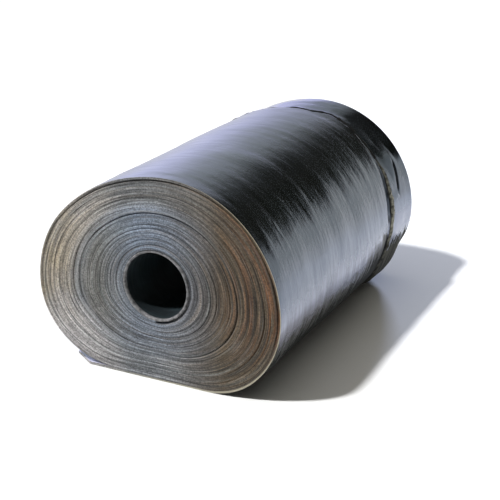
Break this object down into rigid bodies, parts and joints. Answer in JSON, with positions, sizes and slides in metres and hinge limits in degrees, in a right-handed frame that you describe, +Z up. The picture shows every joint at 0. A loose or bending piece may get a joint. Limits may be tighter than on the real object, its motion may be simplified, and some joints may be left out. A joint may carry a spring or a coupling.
{
  "type": "roll of roofing felt",
  "caption": "Sagged roll of bituminous roofing felt on its side, wound round an open bore, its free end flat on the floor and its last turn torn back at the far end.",
  "frame": {"origin": "on the floor, under the middle of the roll's length and width", "axes": "+Y along the roll from its open near end to its far end, +X to the right seen from the near end, +Z up"},
  "size_m": [0.218, 0.3, 0.17],
  "materials": {
    "bitumen_felt": "satin"
  },
  "bodies": {
    "root": {"felt_roll": "bitumen_felt"}
  },
  "joints": []
}
